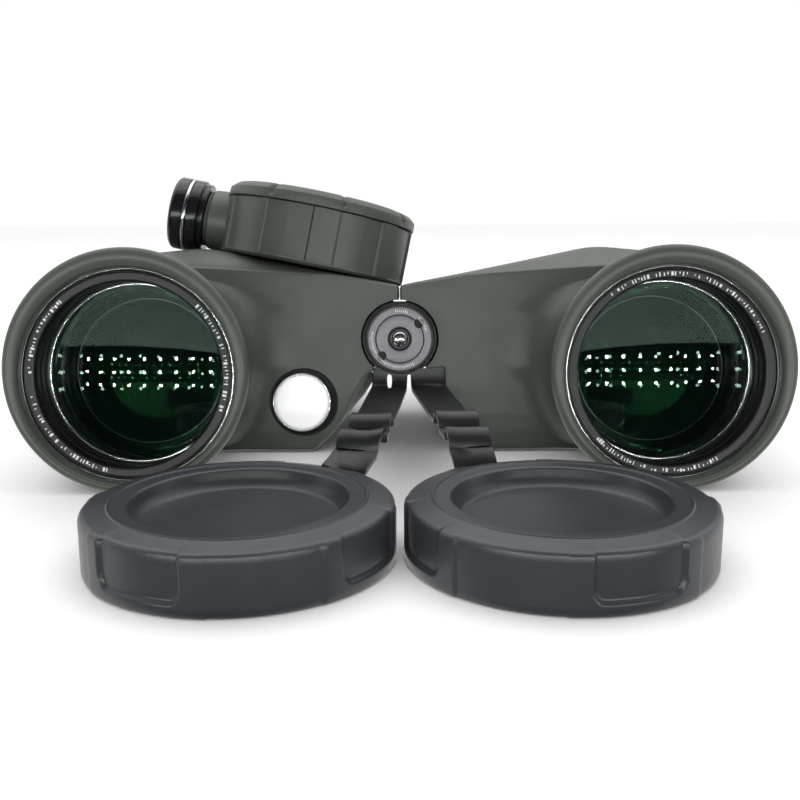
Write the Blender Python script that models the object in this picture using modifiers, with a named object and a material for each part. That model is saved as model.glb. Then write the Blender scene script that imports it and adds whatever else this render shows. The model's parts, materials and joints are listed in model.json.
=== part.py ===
"""Porro-prism binoculars with a built-in compass, lying on a surface with both lens caps off.

World frame: +X towards the user's left half, +Y from the objectives to the eyepieces, +Z up,
Z = 0 on the surface. The binoculars are modelled in their own frame: its Y axis is the centre
hinge, with Y = 0 in the plane of the objective rims, and it is tipped nose-up on the surface.
"""
import math

import bmesh
import bpy
from mathutils import Matrix, Vector

MM = 0.001
GAP = 0.3 * MM
SKIN_GAP = 0.45 * MM

# Attitude on the surface
TILT = math.radians(7.2)
ROLL = math.radians(11.5)
LIP_R = 33.8 * MM
LIP_CREST_Y = 1.8 * MM
LIP_Z = -7.8 * MM
HINGE_HEIGHT = (LIP_R - LIP_Z) * math.cos(TILT) + LIP_CREST_Y * math.sin(TILT)
HINGE_START_Y = -32.3 * MM

# Optical layout of one half, from the hinge axis
AXIS_X = 75.2 * MM
AXIS_Z = -9.0 * MM
FOLD_X = 62.5 * MM
FOLD_Z = 14.5 * MM
EYE_X = 36.2 * MM
EYE_Z = 1.0 * MM

# Body of one half
LIP_BORE_R = 29.45 * MM
BARREL_SLACK = 0.45 * MM
ARMOUR_BARREL_T = 1.45 * MM
ARMOUR_T = 2.2 * MM
SHELL_T = 2.0 * MM
FACE_Y = 45.2 * MM
RIDGE_Y = 58.0 * MM
REST_Y = 104.0 * MM
ARMOUR_END_Y = 108.0 * MM
SEAM_X = 0.3 * MM
SEAM_Z = 17.0 * MM
CROWN_X = 63.0 * MM
RING_POINTS = 28

# Centre hinge
AXLE_R = 4.7 * MM
KNUCKLE_R = 12.0 * MM
HINGE_WALL_R = KNUCKLE_R + GAP + SHELL_T
RIGHT_KNUCKLES = ((47.5 * MM, 60.0 * MM), (90.0 * MM, 104.0 * MM))
LEFT_KNUCKLES = ((60.4 * MM, 89.6 * MM),)

# Eyepieces
COVER_Y = 108.3 * MM

# Compass, on the top of the right half
COMPASS_U = 34.5 * MM
COMPASS_V = 17.0 * MM
COMPASS_Y = 76.5 * MM
CELL_Z = 10.2 * MM
WINDOW_X = -31.2 * MM
WINDOW_Z = -20.0 * MM

# Lens caps and their tethers
CAP_X = 36.1 * MM
CAP_AHEAD = 53.2 * MM
STRAP_W = 11.0 * MM
STRAP_T = 1.8 * MM

# Segment counts
BIG = 32
MID = 22
SMALL = 14

parts = bpy.data.collections.new("compass_binoculars")
cutters = bpy.data.collections.new("cutters")
materials = {}


def clear_scene():
    for obj in list(bpy.data.objects):
        bpy.data.objects.remove(obj, do_unlink=True)
    bpy.context.scene.collection.children.link(parts)
    bpy.context.scene.collection.children.link(cutters)


def material(name, color, roughness, metallic=0.0, alpha=1.0):
    found = materials.get(name)
    if found:
        return found
    made = bpy.data.materials.new(name)
    made.use_nodes = True
    shader = made.node_tree.nodes["Principled BSDF"]
    shader.inputs["Base Color"].default_value = (*color, 1.0)
    shader.inputs["Roughness"].default_value = roughness
    shader.inputs["Metallic"].default_value = metallic
    shader.inputs["Alpha"].default_value = alpha
    materials[name] = made
    return made


def armour_rubber():
    return material("armour_rubber", (0.075, 0.095, 0.070), 0.55)


def cap_rubber():
    return material("cap_rubber", (0.045, 0.052, 0.055), 0.45)


def strap_rubber():
    return material("strap_rubber", (0.018, 0.018, 0.018), 0.6)


def black_plastic():
    return material("black_plastic", (0.015, 0.015, 0.016), 0.35)


def shell_plastic():
    return material("shell_plastic", (0.03, 0.032, 0.03), 0.5)


def lens_glass():
    return material("lens_glass", (0.05, 0.25, 0.15), 0.03, 0.0, 0.35)


def bright_steel():
    return material("bright_steel", (0.7, 0.7, 0.7), 0.25, 1.0)


def white_plastic():
    return material("white_plastic", (0.85, 0.86, 0.86), 0.3)


def brass():
    return material("brass", (0.6, 0.45, 0.18), 0.35, 1.0)


def empty(name, parent, location, rotation=(0.0, 0.0, 0.0)):
    """An axis that pieces hang from."""
    obj = bpy.data.objects.new(name, None)
    obj.location = location
    obj.rotation_euler = rotation
    obj.parent = parent
    parts.objects.link(obj)
    return obj


def new_object(name, mesh, parent, location, rotation, skin=None):
    """A mesh object in the parts collection, or in the cutters where it has no material."""
    obj = bpy.data.objects.new(name, mesh)
    obj.location = location
    obj.rotation_euler = rotation
    obj.parent = parent
    if skin is None:
        cutters.objects.link(obj)
        obj.hide_render = True
        obj.display_type = "WIRE"
    else:
        parts.objects.link(obj)
        mesh.materials.append(skin)
    return obj


def mesh_from(name, bm):
    mesh = bpy.data.meshes.new(name)
    bm.to_mesh(mesh)
    bm.free()
    mesh.shade_smooth()
    mesh.set_sharp_from_angle(angle=math.radians(35))
    return mesh


ALONG_Y = (-math.pi / 2, 0.0, 0.0)
ALONG_MINUS_X = (0.0, -math.pi / 2, 0.0)


def turned(name, profile, segments, parent, location, rotation=ALONG_Y, skin=None):
    """A profile of (radius, height) turned about local Z, run down its outer side first."""
    bm = bmesh.new()
    points = [bm.verts.new((r, 0.0, h)) for r, h in profile]
    for first, second in zip(points, points[1:]):
        bm.edges.new((first, second))
    on_axis = profile[0][0] == 0.0 and profile[-1][0] == 0.0
    if not on_axis:
        bm.edges.new((points[-1], points[0]))
    mesh = bpy.data.meshes.new(name)
    bm.to_mesh(mesh)
    bm.free()
    obj = new_object(name, mesh, parent, location, rotation, skin)
    screw = obj.modifiers.new("turn", "SCREW")
    screw.axis = "Z"
    screw.angle = 2 * math.pi
    screw.steps = segments
    screw.render_steps = segments
    screw.use_merge_vertices = True
    screw.merge_threshold = 0.00001
    screw.use_smooth_shade = True
    return obj


def ring(r_in, r_out, low, high):
    """The profile of a plain ring."""
    return [(r_out, high), (r_out, low), (r_in, low), (r_in, high)]


def disc(r, low, high):
    """The profile of a plain disc."""
    return [(0.0, high), (r, high), (r, low), (0.0, low)]


def block(name, size, parent, location, rotation=(0.0, 0.0, 0.0), skin=None):
    bm = bmesh.new()
    bmesh.ops.create_cube(bm, size=1.0)
    bmesh.ops.scale(bm, vec=size, verts=bm.verts)
    return new_object(name, mesh_from(name, bm), parent, location, rotation, skin)


def combine(obj, other, operation):
    step = obj.modifiers.new(operation.lower(), "BOOLEAN")
    step.operation = operation
    step.solver = "EXACT"
    step.object = other
    return obj


def cut(obj, other):
    return combine(obj, other, "DIFFERENCE")


def join(obj, other):
    return combine(obj, other, "UNION")


def rounded(obj, width, segments=2):
    bevel = obj.modifiers.new("round", "BEVEL")
    bevel.width = width
    bevel.segments = segments
    bevel.limit_method = "ANGLE"
    bevel.angle_limit = math.radians(40)
    return obj


def lofted(name, rings, parent, skin=None):
    """A closed body through rings of the same number of points, with flat ends."""
    bm = bmesh.new()
    rows = [[bm.verts.new(p) for p in points] for points in rings]
    for low, high in zip(rows, rows[1:]):
        for k in range(len(low)):
            n = (k + 1) % len(low)
            bm.faces.new((low[k], low[n], high[n]))
            bm.faces.new((low[k], high[n], high[k]))
    bm.faces.new(rows[0])
    bm.faces.new(rows[-1])
    bmesh.ops.recalc_face_normals(bm, faces=bm.faces)
    return new_object(name, mesh_from(name, bm), parent, (0, 0, 0), (0, 0, 0), skin)


# The outline of one half

def floor_z(y):
    """The surface's height in the binoculars' own frame."""
    return y * math.tan(TILT) - HINGE_HEIGHT / math.cos(TILT)


def barrel_radius(y):
    """The armour's radius about the optical axis, which clears the surface by a little."""
    return LIP_R + AXIS_Z - LIP_Z - BARREL_SLACK - (y - LIP_CREST_Y) * math.tan(TILT)


def inset_outline(outline, depth):
    """Every side of an anticlockwise outline moved inwards by the same depth."""
    moved = []
    for k, here in enumerate(outline):
        before = (here - outline[k - 1]).normalized()
        after = (outline[(k + 1) % len(outline)] - here).normalized()
        normal_before = Vector((-before.y, before.x))
        normal_after = Vector((-after.y, after.x))
        mitre = depth / (1 + normal_before.dot(normal_after))
        moved.append(here + (normal_before + normal_after) * mitre)
    return moved


def rounded_path(corners, arc_steps=8):
    """The polygon with an arc at every corner, as a list of points."""
    path = []
    count = len(corners)
    for k, (x, z, radius) in enumerate(corners):
        here = Vector((x, z))
        back = (Vector(corners[k - 1][:2]) - here).normalized()
        ahead = (Vector(corners[(k + 1) % count][:2]) - here).normalized()
        half_angle = back.angle(ahead) / 2
        reach = radius / math.tan(half_angle)
        centre = here + (back + ahead).normalized() * (radius / math.sin(half_angle))
        start = here + back * reach - centre
        sweep = start.angle_signed(here + ahead * reach - centre)
        for step in range(arc_steps + 1):
            turned_by = Matrix.Rotation(-sweep * step / arc_steps, 2)
            path.append(centre + turned_by @ start)
    return path


def spaced(path, count):
    """Evenly spaced points round a closed path, from where it crosses the axis's height outside."""
    outside = max(range(len(path)), key=lambda k: path[k].x - abs(path[k].y - AXIS_Z))
    path = path[outside:] + path[:outside]
    path.append(path[0])
    lengths = [(b - a).length for a, b in zip(path, path[1:])]
    total = sum(lengths)
    points = []
    for k in range(count):
        target = total * k / count
        index = 0
        while target > lengths[index]:
            target -= lengths[index]
            index += 1
        points.append(path[index].lerp(path[index + 1], target / lengths[index]))
    return points


def half_corners(outer, crown, bottom_z):
    """The outline's corners: outer and crown are (x, z, radius), and the rest is the hinge side."""
    outer_x, _, radius = outer
    return [
        (outer_x, bottom_z, radius * 0.6),
        outer,
        crown,
        (SEAM_X, SEAM_Z, 0.8 * MM),
        (SEAM_X, -8.0 * MM, 0.5 * MM),
        (11.0 * MM, -11.0 * MM, 2.0 * MM),
        (19.5 * MM, -28.0 * MM, 3.0 * MM),
        (27.0 * MM, bottom_z, 4.0 * MM),
    ]


def section(y, inset):
    """Points of the housing's outline at y, behind its front face."""
    bottom = floor_z(y) + 0.5 * MM * max(0.0, (REST_Y - y) / (REST_Y - FACE_Y))
    if y <= FACE_Y + 6 * MM:
        outer = (103.2 * MM, 22.4 * MM, 25.0 * MM)
        crown = (CROWN_X, 23.0 * MM, 12.0 * MM)
    else:
        outer = (99.0 * MM, 26.5 * MM, 22.0 * MM)
        crown = (CROWN_X, SEAM_Z + CROWN_X * math.tan(ROLL), 14.0 * MM)
    corners = half_corners(outer, crown, bottom)
    return inset_outline(spaced(rounded_path(corners), RING_POINTS), inset)


def circle(radius, centre_z=AXIS_Z):
    step = 2 * math.pi / RING_POINTS
    return [
        Vector((AXIS_X + radius * math.cos(k * step), centre_z + radius * math.sin(k * step)))
        for k in range(RING_POINTS)
    ]


def at(y, points, side):
    return [Vector((side * p.x, y, p.y)) for p in points]


def blend(first, second, weight):
    return [a.lerp(b, weight) for a, b in zip(first, second)]


def housing_rings(inset, side, face_y, end_y):
    """Rings from the barrel's root, over the front face, to the back of the housing."""
    thinner = max(0.0, inset - ARMOUR_T + ARMOUR_BARREL_T)
    face = section(FACE_Y, inset)
    fillet = []
    for ahead, weight in ((16 * MM, 0.0), (8 * MM, 0.06), (4 * MM, 0.12), (1.5 * MM, 0.24)):
        y = face_y - ahead
        root = circle(barrel_radius(y) - thinner)
        fillet.append(at(y, blend(root, face, weight), side))
    return fillet + [
        at(face_y, face, side),
        at(RIDGE_Y, section(RIDGE_Y, inset), side),
        at(REST_Y, section(REST_Y, inset), side),
        at(end_y, section(end_y, inset), side),
    ]


def make_armour(name, side, frame):
    lip = [(0.0, 31.4), (0.5, 33.0), (1.8, 33.8), (4.0, 33.3)]
    rings = [at(y * MM, circle(r * MM, LIP_Z), side) for y, r in lip]
    rings += [at(y * MM, circle(barrel_radius(y * MM)), side) for y in (6.8, 20.0)]
    rings += housing_rings(0.0, side, FACE_Y, REST_Y + 2 * MM)
    rings.append(at(ARMOUR_END_Y, section(ARMOUR_END_Y, 0.9 * MM), side))
    obj = lofted(name, rings, frame, armour_rubber())

    bore = [at(y * MM, circle(LIP_BORE_R), side) for y in (-1.0, 6.6)]
    bore += [
        at(y * MM, circle(barrel_radius(y * MM) - ARMOUR_BARREL_T), side) for y in (6.7, 20.0)
    ]
    bore += housing_rings(ARMOUR_T, side, FACE_Y + ARMOUR_T, ARMOUR_END_Y + 1 * MM)
    cut(obj, lofted(name + "_hollow", bore, frame))

    relief = [(KNUCKLE_R + GAP, 0.0), (14.4 * MM, FACE_Y + ARMOUR_T)]
    for radius, start in relief:
        cutter = turned(
            name + "_relief", disc(radius, start, 0.12), BIG, frame, (0, 0, 0)
        )
        cut(obj, cutter)
    return obj


def make_shell(name, side, frame, knuckles):
    depth = ARMOUR_T + SKIN_GAP
    rings = [
        at(y * MM, circle(barrel_radius(y * MM) - ARMOUR_BARREL_T - SKIN_GAP), side)
        for y in (7.0, 20.0)
    ]
    rings += housing_rings(depth, side, FACE_Y + depth, ARMOUR_END_Y - GAP)
    obj = lofted(name, rings, frame, shell_plastic())

    clearance = turned(
        name + "_hinge_space", disc(KNUCKLE_R + GAP, 0.03, 0.12), BIG, frame, (0, 0, 0)
    )
    cut(obj, clearance)
    for low, high in knuckles:
        knuckle = turned(name + "_knuckle", disc(KNUCKLE_R, low, high), MID, frame, (0, 0, 0))
        join(obj, knuckle)
        web_size = (8 * MM, high - low, 8 * MM)
        web_place = (side * 9 * MM, (low + high) / 2, 2 * MM)
        join(obj, block(name + "_web", web_size, frame, web_place))

    inner = depth + SHELL_T
    hollow = [
        at(6 * MM, circle(27.9 * MM), side),
        at(17.7 * MM, circle(27.9 * MM), side),
        at(17.8 * MM, circle(26.7 * MM), side),
        at(25.2 * MM, circle(26.7 * MM), side),
        at(25.4 * MM, circle(25.8 * MM), side),
        at(32.0 * MM, circle(25.8 * MM), side),
    ]
    hollow += housing_rings(inner, side, FACE_Y + inner, ARMOUR_END_Y + 1 * MM)
    core = lofted(name + "_hollow", hollow, frame)
    wall = turned(
        name + "_hinge_wall", disc(HINGE_WALL_R, 0.0, 0.13), BIG, frame, (0, 0, 0)
    )
    cut(obj, cut(core, wall))
    cut(obj, turned(name + "_bore", disc(AXLE_R + GAP, 0.0, 0.12), MID, frame, (0, 0, 0)))
    return obj


# The optics of one half

def make_objective(prefix, frame, axis):
    bezel = [
        (29.1, 6.2), (29.1, 4.6), (28.8, 4.3), (26.1, 4.3), (25.8, 4.6), (25.8, 16.2),
        (27.6, 16.2), (27.6, 6.2),
    ]
    profile = [(r * MM, y * MM) for r, y in reversed(bezel)]
    profile = profile[-1:] + profile[:-1]
    turned(prefix + "_objective_bezel", outer_down(profile), BIG, frame, axis, skin=black_plastic())

    seal = []
    for k in range(6):
        angle = -2 * math.pi * k / 6
        seal.append((26.9 * MM + 0.45 * MM * math.cos(angle), 17.0 * MM + 0.45 * MM * math.sin(angle)))
    turned(prefix + "_objective_seal", seal, MID, frame, axis, skin=strap_rubber())

    front = [(0.0, 25.4), (25.6, 24.0), (25.6, 20.2), (18.0, 19.0), (9.0, 18.2), (0.0, 17.9)]
    turned(prefix + "_objective_front_lens", in_mm(front), MID, frame, axis, skin=lens_glass())
    rear = [(0.0, 29.4), (13.0, 29.9), (24.6, 31.2), (24.6, 27.2), (12.0, 26.0), (0.0, 25.8)]
    turned(prefix + "_objective_rear_lens", in_mm(rear), MID, frame, axis, skin=lens_glass())
    cell = [
        (25.5, 31.8), (25.5, 24.9), (26.4, 24.9), (26.4, 18.3), (25.95, 18.3), (25.95, 24.3),
        (24.9, 24.3), (24.9, 31.8),
    ]
    turned(prefix + "_objective_cell", in_mm(cell), MID, frame, axis, skin=shell_plastic())


def in_mm(profile):
    return [(r * MM, y * MM) for r, y in profile]


def outer_down(profile):
    """The same closed profile, run so that its outer side goes down."""
    area = 0.0
    for (r0, h0), (r1, h1) in zip(profile, profile[1:] + profile[:1]):
        area += r0 * h1 - r1 * h0
    return profile if area < 0 else list(reversed(profile))


def make_prism(name, frame, start, end, base_y, point, side):
    """A right-angle prism over two optical axes, its long face at base_y, towards point."""
    half_width = 7.5 * MM
    first = Vector((side * start[0], start[1]))
    second = Vector((side * end[0], end[1]))
    middle = (first + second) / 2
    along = (second - first).normalized()
    reach = (second - first).length / 2 + 7.0 * MM
    across = Vector((-along.y, along.x)) * half_width
    rings = []
    for edge in (-1, 1):
        outline = [(-reach, 0.0), (reach, 0.0), (5 * MM, reach - 5 * MM), (-5 * MM, reach - 5 * MM)]
        offset = middle + across * edge
        rings.append([
            Vector((offset.x + along.x * a, base_y + point * h, offset.y + along.y * a))
            for a, h in outline
        ])
    lofted(name, rings, frame, lens_glass())


def make_bracket(name, side, frame):
    depth = ARMOUR_T + SKIN_GAP + SHELL_T + 5 * GAP
    rings = [at(y, section(80 * MM, depth), side) for y in (80.3 * MM, 81.7 * MM)]
    obj = lofted(name, rings, frame, shell_plastic())
    hinge = turned(name + "_hinge", disc(HINGE_WALL_R + GAP, 0.07, 0.09), MID, frame, (0, 0, 0))
    cut(obj, hinge)
    for x, z in ((AXIS_X, AXIS_Z), (FOLD_X, FOLD_Z), (EYE_X, EYE_Z)):
        hole = turned(
            name + "_hole", disc(6.5 * MM, 0.07, 0.09), SMALL, frame, (side * x, 0, z)
        )
        cut(obj, hole)
    return obj


def make_rear_cover(name, side, frame):
    rings = [
        at(y, section(ARMOUR_END_Y, depth), side)
        for y, depth in ((COVER_Y, 1.2 * MM), (110.2 * MM, 1.2 * MM), (111.0 * MM, 2.2 * MM))
    ]
    obj = lofted(name, rings, frame, armour_rubber())
    eye = (side * EYE_X, 0, EYE_Z)
    boss = turned(name + "_boss", disc(17.4 * MM, 0.1093, 0.1175), MID, frame, eye)
    join(obj, boss)
    cut(obj, turned(name + "_bore", disc(13.8 * MM, 0.1, 0.13), MID, frame, eye))
    hinge = turned(name + "_hinge", disc(KNUCKLE_R + GAP, 0.1, 0.13), MID, frame, (0, 0, 0))
    return cut(obj, hinge)


def make_eyepiece(prefix, frame, side):
    eye = (side * EYE_X, 0, EYE_Z)
    tube_frame = empty(prefix + "_eyepiece_axis", frame, eye)
    here = (0, 0, 0)
    tube = [(13.5, 136.5), (13.5, 98.0), (11.6, 98.0), (11.6, 136.5)]
    turned(prefix + "_eyepiece_tube", in_mm(tube), MID, tube_frame, here, skin=black_plastic())
    field = [(0.0, 105.4), (6.0, 105.0), (11.3, 103.4), (11.3, 100.6), (0.0, 100.2)]
    turned(prefix + "_field_lens", in_mm(field), SMALL, tube_frame, here, skin=lens_glass())
    eye_lens = [(0.0, 135.6), (6.0, 135.2), (11.3, 134.0), (11.3, 131.0), (6.0, 129.8), (0.0, 129.4)]
    turned(prefix + "_eye_lens", in_mm(eye_lens), SMALL, tube_frame, here, skin=lens_glass())
    cup = [
        (18.4, 150.0), (20.0, 148.4), (20.0, 146.0), (18.2, 143.0), (17.6, 133.0), (13.8, 133.0),
        (13.8, 136.9), (11.9, 136.9), (12.4, 140.0), (16.2, 150.0),
    ]
    turned(prefix + "_eyecup", in_mm(cup), MID, tube_frame, here, skin=strap_rubber())

    ring_frame = empty(prefix + "_focus_axis", frame, eye)
    grip = [(17.6, 129.6), (19.0, 128.6), (19.0, 119.2), (18.2, 118.0), (13.8, 118.0), (13.8, 129.6)]
    turned(prefix + "_focus_ring", in_mm(grip), MID, ring_frame, here, skin=black_plastic())


def make_lug(name, side, frame):
    place = (side * 104.4 * MM, 84.0 * MM, 12.0 * MM)
    obj = block(name, (8.0 * MM, 17.0 * MM, 3.0 * MM), frame, place, skin=bright_steel())
    rounded(obj, 1.0 * MM)
    slot_place = (side * 105.2 * MM, 84.0 * MM, 12.0 * MM)
    slot = block(name + "_slot", (4.6 * MM, 12.0 * MM, 10.0 * MM), frame, slot_place)
    return cut(obj, slot)


def make_half(prefix, side, frame, knuckles):
    shell = make_shell(prefix + "_body_shell", side, frame, knuckles)
    armour = make_armour(prefix + "_armour", side, frame)
    make_objective(prefix, frame, (side * AXIS_X, 0, AXIS_Z))
    first = (AXIS_X, AXIS_Z)
    second = (FOLD_X, FOLD_Z)
    third = (EYE_X, EYE_Z)
    make_prism(prefix + "_rear_prism", frame, first, second, 82.0 * MM, 1, side)
    make_prism(prefix + "_front_prism", frame, second, third, 80.0 * MM, -1, side)
    make_bracket(prefix + "_prism_bracket", side, frame)
    make_rear_cover(prefix + "_rear_cover", side, frame)
    make_eyepiece(prefix, frame, side)
    make_lug(prefix + "_strap_lug", side, frame)
    return shell, armour


# The centre hinge

def make_hinge(frame, collar_frame):
    here = (0, 0, 0)
    plate = [
        (10.9, 42.2), (10.9, 40.5), (10.4, 40.0), (3.7, 40.0), (3.7, 41.4), (0.0, 41.4), (0.0, 42.2),
    ]
    plate = plate[-1:] + plate[:-1]
    turned("hinge_disc", in_mm(plate), MID, frame, here, skin=black_plastic())
    dome = [(0.0, 41.1), (2.8, 41.1), (2.8, 40.5), (1.8, 39.6), (0.0, 39.2)]
    turned("hinge_dome", in_mm(dome), SMALL, frame, here, skin=bright_steel())
    axle = disc(AXLE_R, 42.5 * MM, 106.0 * MM)
    turned("hinge_axle", axle, MID, frame, here, skin=bright_steel())
    washer = ring(5.0 * MM, 11.6 * MM, 44.6 * MM, 47.2 * MM)
    turned("hinge_washer", washer, MID, frame, here, skin=brass())
    nut = [(0.0, 109.6), (8.6, 109.6), (9.8, 108.4), (9.8, 106.3), (0.0, 106.3)]
    turned("rear_hinge_cap", in_mm(nut), MID, frame, here, skin=black_plastic())
    collar = ring(5.0 * MM, 9.6 * MM, 42.5 * MM, 44.3 * MM)
    loop = turned("tether_collar", collar, MID, collar_frame, here, skin=strap_rubber())
    bar_place = (2.8 * MM, 43.4 * MM, -8.2 * MM)
    join(loop, block("tether_bar", (23.4 * MM, 1.7 * MM, 3.0 * MM), collar_frame, bar_place))


# The compass and its light

def make_compass(frame):
    here = (0, 0, 0)
    upright = (0, 0, 0)
    housing = [
        (31.2, 18.6), (31.2, 1.2), (30.0, 0.0), (0.0, 0.0), (0.0, 2.0), (27.0, 2.0),
        (27.0, 16.8), (24.5, 16.8), (24.5, 18.6),
    ]
    body = turned_cup("compass_housing", housing, BIG, frame, armour_rubber())
    neck = turned(
        "compass_neck", disc(9.5 * MM, 32.2 * MM, 37.6 * MM), MID, frame,
        (0, 0, CELL_Z), ALONG_MINUS_X,
    )
    join(body, block("compass_neck_root", (6 * MM, 17 * MM, 12 * MM), frame, (-31 * MM, 0, 7.4 * MM)))
    join(body, neck)
    well = turned(
        "compass_battery_well", disc(7.0 * MM, 32.0 * MM, 40 * MM), MID, frame,
        (0, 0, CELL_Z), ALONG_MINUS_X,
    )
    cut(body, well)

    bezel = [
        (25.0, 23.9), (28.4, 23.9), (31.8, 22.2), (31.8, 18.9), (25.9, 18.9), (25.9, 21.5),
        (23.6, 21.5), (23.6, 23.2),
    ]
    bezel_frame = empty("compass_bezel_axis", frame, here)
    dial = turned("compass_bezel", in_mm(bezel), BIG, bezel_frame, here, upright, armour_rubber())
    for k in range(4):
        angle = math.radians(45 + 90 * k)
        place = (33.2 * MM * math.cos(angle), 33.2 * MM * math.sin(angle), 23.7 * MM)
        notch = block("compass_notch", (8 * MM, 4 * MM, 4 * MM), bezel_frame, place, (0, 0, angle))
        cut(dial, notch)

    window = disc(25.5 * MM, 18.9 * MM, 21.2 * MM)
    turned("compass_window", window, BIG, frame, here, upright, lens_glass())
    card_frame = empty("compass_card_axis", frame, here)
    card = disc(23.4 * MM, 13.8 * MM, 14.6 * MM)
    turned("compass_card", card, BIG, card_frame, here, upright, white_plastic())
    bar_place = (0, 0, 12.5 * MM)
    bar_size = (4 * MM, 20 * MM, 2 * MM)
    block("compass_magnet", bar_size, card_frame, bar_place, skin=bright_steel())
    post = [(0.0, 11.2), (0.8, 10.4), (0.8, 3.4), (3.0, 3.4), (3.0, 2.3), (0.0, 2.3)]
    turned("compass_pivot", in_mm(post), SMALL, frame, here, upright, brass())


def turned_cup(name, profile, segments, frame, skin):
    """A cup whose floor reaches the axis: its profile runs from the axis, round and back."""
    start = profile.index((0.0, 2.0))
    run = profile[start:] + profile[:start]
    return turned(name, in_mm(run), segments, frame, (0, 0, 0), (0, 0, 0), skin)


def make_light(frame):
    """The battery barrel stands out sideways from the compass, with a press button at its end."""
    place = (0, 0, CELL_Z)
    travel = empty("battery_cap_axis", frame, place, ALONG_MINUS_X)
    here = (0, 0, 0)
    upright = (0, 0, 0)
    cap = [
        (10.6, 49.4), (11.8, 48.2), (11.8, 45.0), (11.0, 45.0), (11.0, 43.2), (11.8, 43.2),
        (11.8, 38.6), (11.2, 38.0), (8.6, 38.0), (8.6, 46.6), (5.3, 46.6), (5.3, 49.4),
    ]
    turned("battery_cap", in_mm(cap), MID, travel, here, upright, black_plastic())
    trim = ring(11.3 * MM, 12.1 * MM, 43.5 * MM, 44.7 * MM)
    turned("battery_trim_ring", trim, MID, travel, here, upright, bright_steel())
    button = [(0.0, 50.0), (4.4, 49.8), (5.0, 49.2), (5.0, 46.3), (7.0, 46.3), (7.0, 45.2), (0.0, 45.2)]
    turned("light_button", in_mm(button), MID, travel, here, upright, strap_rubber())
    for number, low in ((1, 32.4), (2, 35.4)):
        cell = disc(5.8 * MM, low * MM, (low + 2.7) * MM)
        turned(f"battery_{number}", cell, SMALL, travel, here, upright, bright_steel())
    make_spring(travel)
    bulb = [(0.0, 4.2), (1.0, 3.8), (1.5, 3.0), (1.5, 0.0), (0.0, 0.0)]
    lamp_place = (-26.6 * MM, 0, 6.0 * MM)
    turned(
        "lamp", in_mm(bulb), SMALL, frame, lamp_place, (0.0, math.pi / 2, 0.0), white_plastic()
    )


def make_spring(frame):
    turns = 4
    steps = 10
    low = 38.6 * MM
    high = 43.75 * MM
    radius = 4.4 * MM
    curve = bpy.data.curves.new("button_spring", "CURVE")
    curve.dimensions = "3D"
    curve.bevel_depth = 0.35 * MM
    curve.bevel_resolution = 1
    curve.use_fill_caps = True
    line = curve.splines.new("POLY")
    line.points.add(turns * steps)
    for k in range(turns * steps + 1):
        angle = 2 * math.pi * k / steps
        height = low + (high - low) * k / (turns * steps)
        line.points[k].co = (radius * math.cos(angle), radius * math.sin(angle), height, 1.0)
    obj = bpy.data.objects.new("button_spring", curve)
    obj.parent = frame
    parts.objects.link(obj)
    curve.materials.append(bright_steel())


def make_illuminator(frame, armour, shell):
    place = (WINDOW_X, 0, WINDOW_Z)
    cut(shell, turned("light_window_seat", disc(10.1 * MM, 0.04, 0.0466), MID, frame, place))
    cut(armour, turned("light_window_hole", disc(9.8 * MM, 0.04, 0.0476), MID, frame, place))
    rim = ring(8.2 * MM, 9.4 * MM, 44.2 * MM, 46.2 * MM)
    turned("light_window_rim", rim, MID, frame, place, skin=bright_steel())
    pane = [(0.0, 44.5), (7.3, 44.5), (7.9, 45.0), (7.9, 46.2), (0.0, 46.2)]
    turned("light_window", in_mm(list(reversed(pane))), MID, frame, place, skin=white_plastic())


# The lens caps and their tethers

def make_cap(name, side, frame, pivot):
    """A rubber cup that lies mouth down, with a round recess in its outer face."""
    profile = [
        (24.6, 14.0), (25.2, 14.2), (29.6, 14.2), (34.0, 13.2), (35.0, 12.2), (35.3, 7.0),
        (34.9, 0.0), (33.9, 0.0), (33.9, 6.8), (0.0, 6.8), (0.0, 9.6), (22.6, 9.6),
    ]
    run = profile[-2:] + profile[:-2]
    centre = Vector((side * CAP_X, HINGE_START_Y - CAP_AHEAD, 0.0)) - Vector(pivot)
    return turned(name, in_mm(run), BIG, frame, centre, (0, 0, 0), cap_rubber())


def tether_path(hanging, first_roll, second_roll, end):
    """The tether's midline: it hangs from the hinge, runs forward and has a hump at each roll."""
    hump = 2.2 * MM
    bend = hanging[-1]
    path = list(hanging) + [bend.lerp(first_roll, 0.3), bend.lerp(first_roll, 0.65)]
    for roll, ahead in ((first_roll, second_roll), (second_roll, end)):
        run = (ahead - roll).normalized()
        for k in range(5):
            angle = math.pi * k / 4
            rise = Vector((0, 0, hump * math.sin(angle)))
            path.append(roll - run * (2.6 * MM * math.cos(angle)) + rise)
    path.append(end)
    return path


def make_tether(name, frame, path):
    """A flat rubber strap along its midline, as a strip with thickness."""
    bm = bmesh.new()
    rows = []
    for k, point in enumerate(path):
        ahead = path[min(k + 1, len(path) - 1)] - path[max(k - 1, 0)]
        ahead.normalize()
        across = Vector((1, 0, 0)) - ahead * ahead.x
        across = across.normalized() * (STRAP_W / 2)
        rows.append((bm.verts.new(point - across), bm.verts.new(point + across)))
    for low, high in zip(rows, rows[1:]):
        bm.faces.new((low[0], low[1], high[1], high[0]))
    strap = new_object(name, mesh_from(name, bm), frame, (0, 0, 0), (0, 0, 0), strap_rubber())
    thick = strap.modifiers.new("thickness", "SOLIDIFY")
    thick.thickness = STRAP_T
    thick.offset = 0.0
    thick.use_even_offset = True
    return strap


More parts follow.
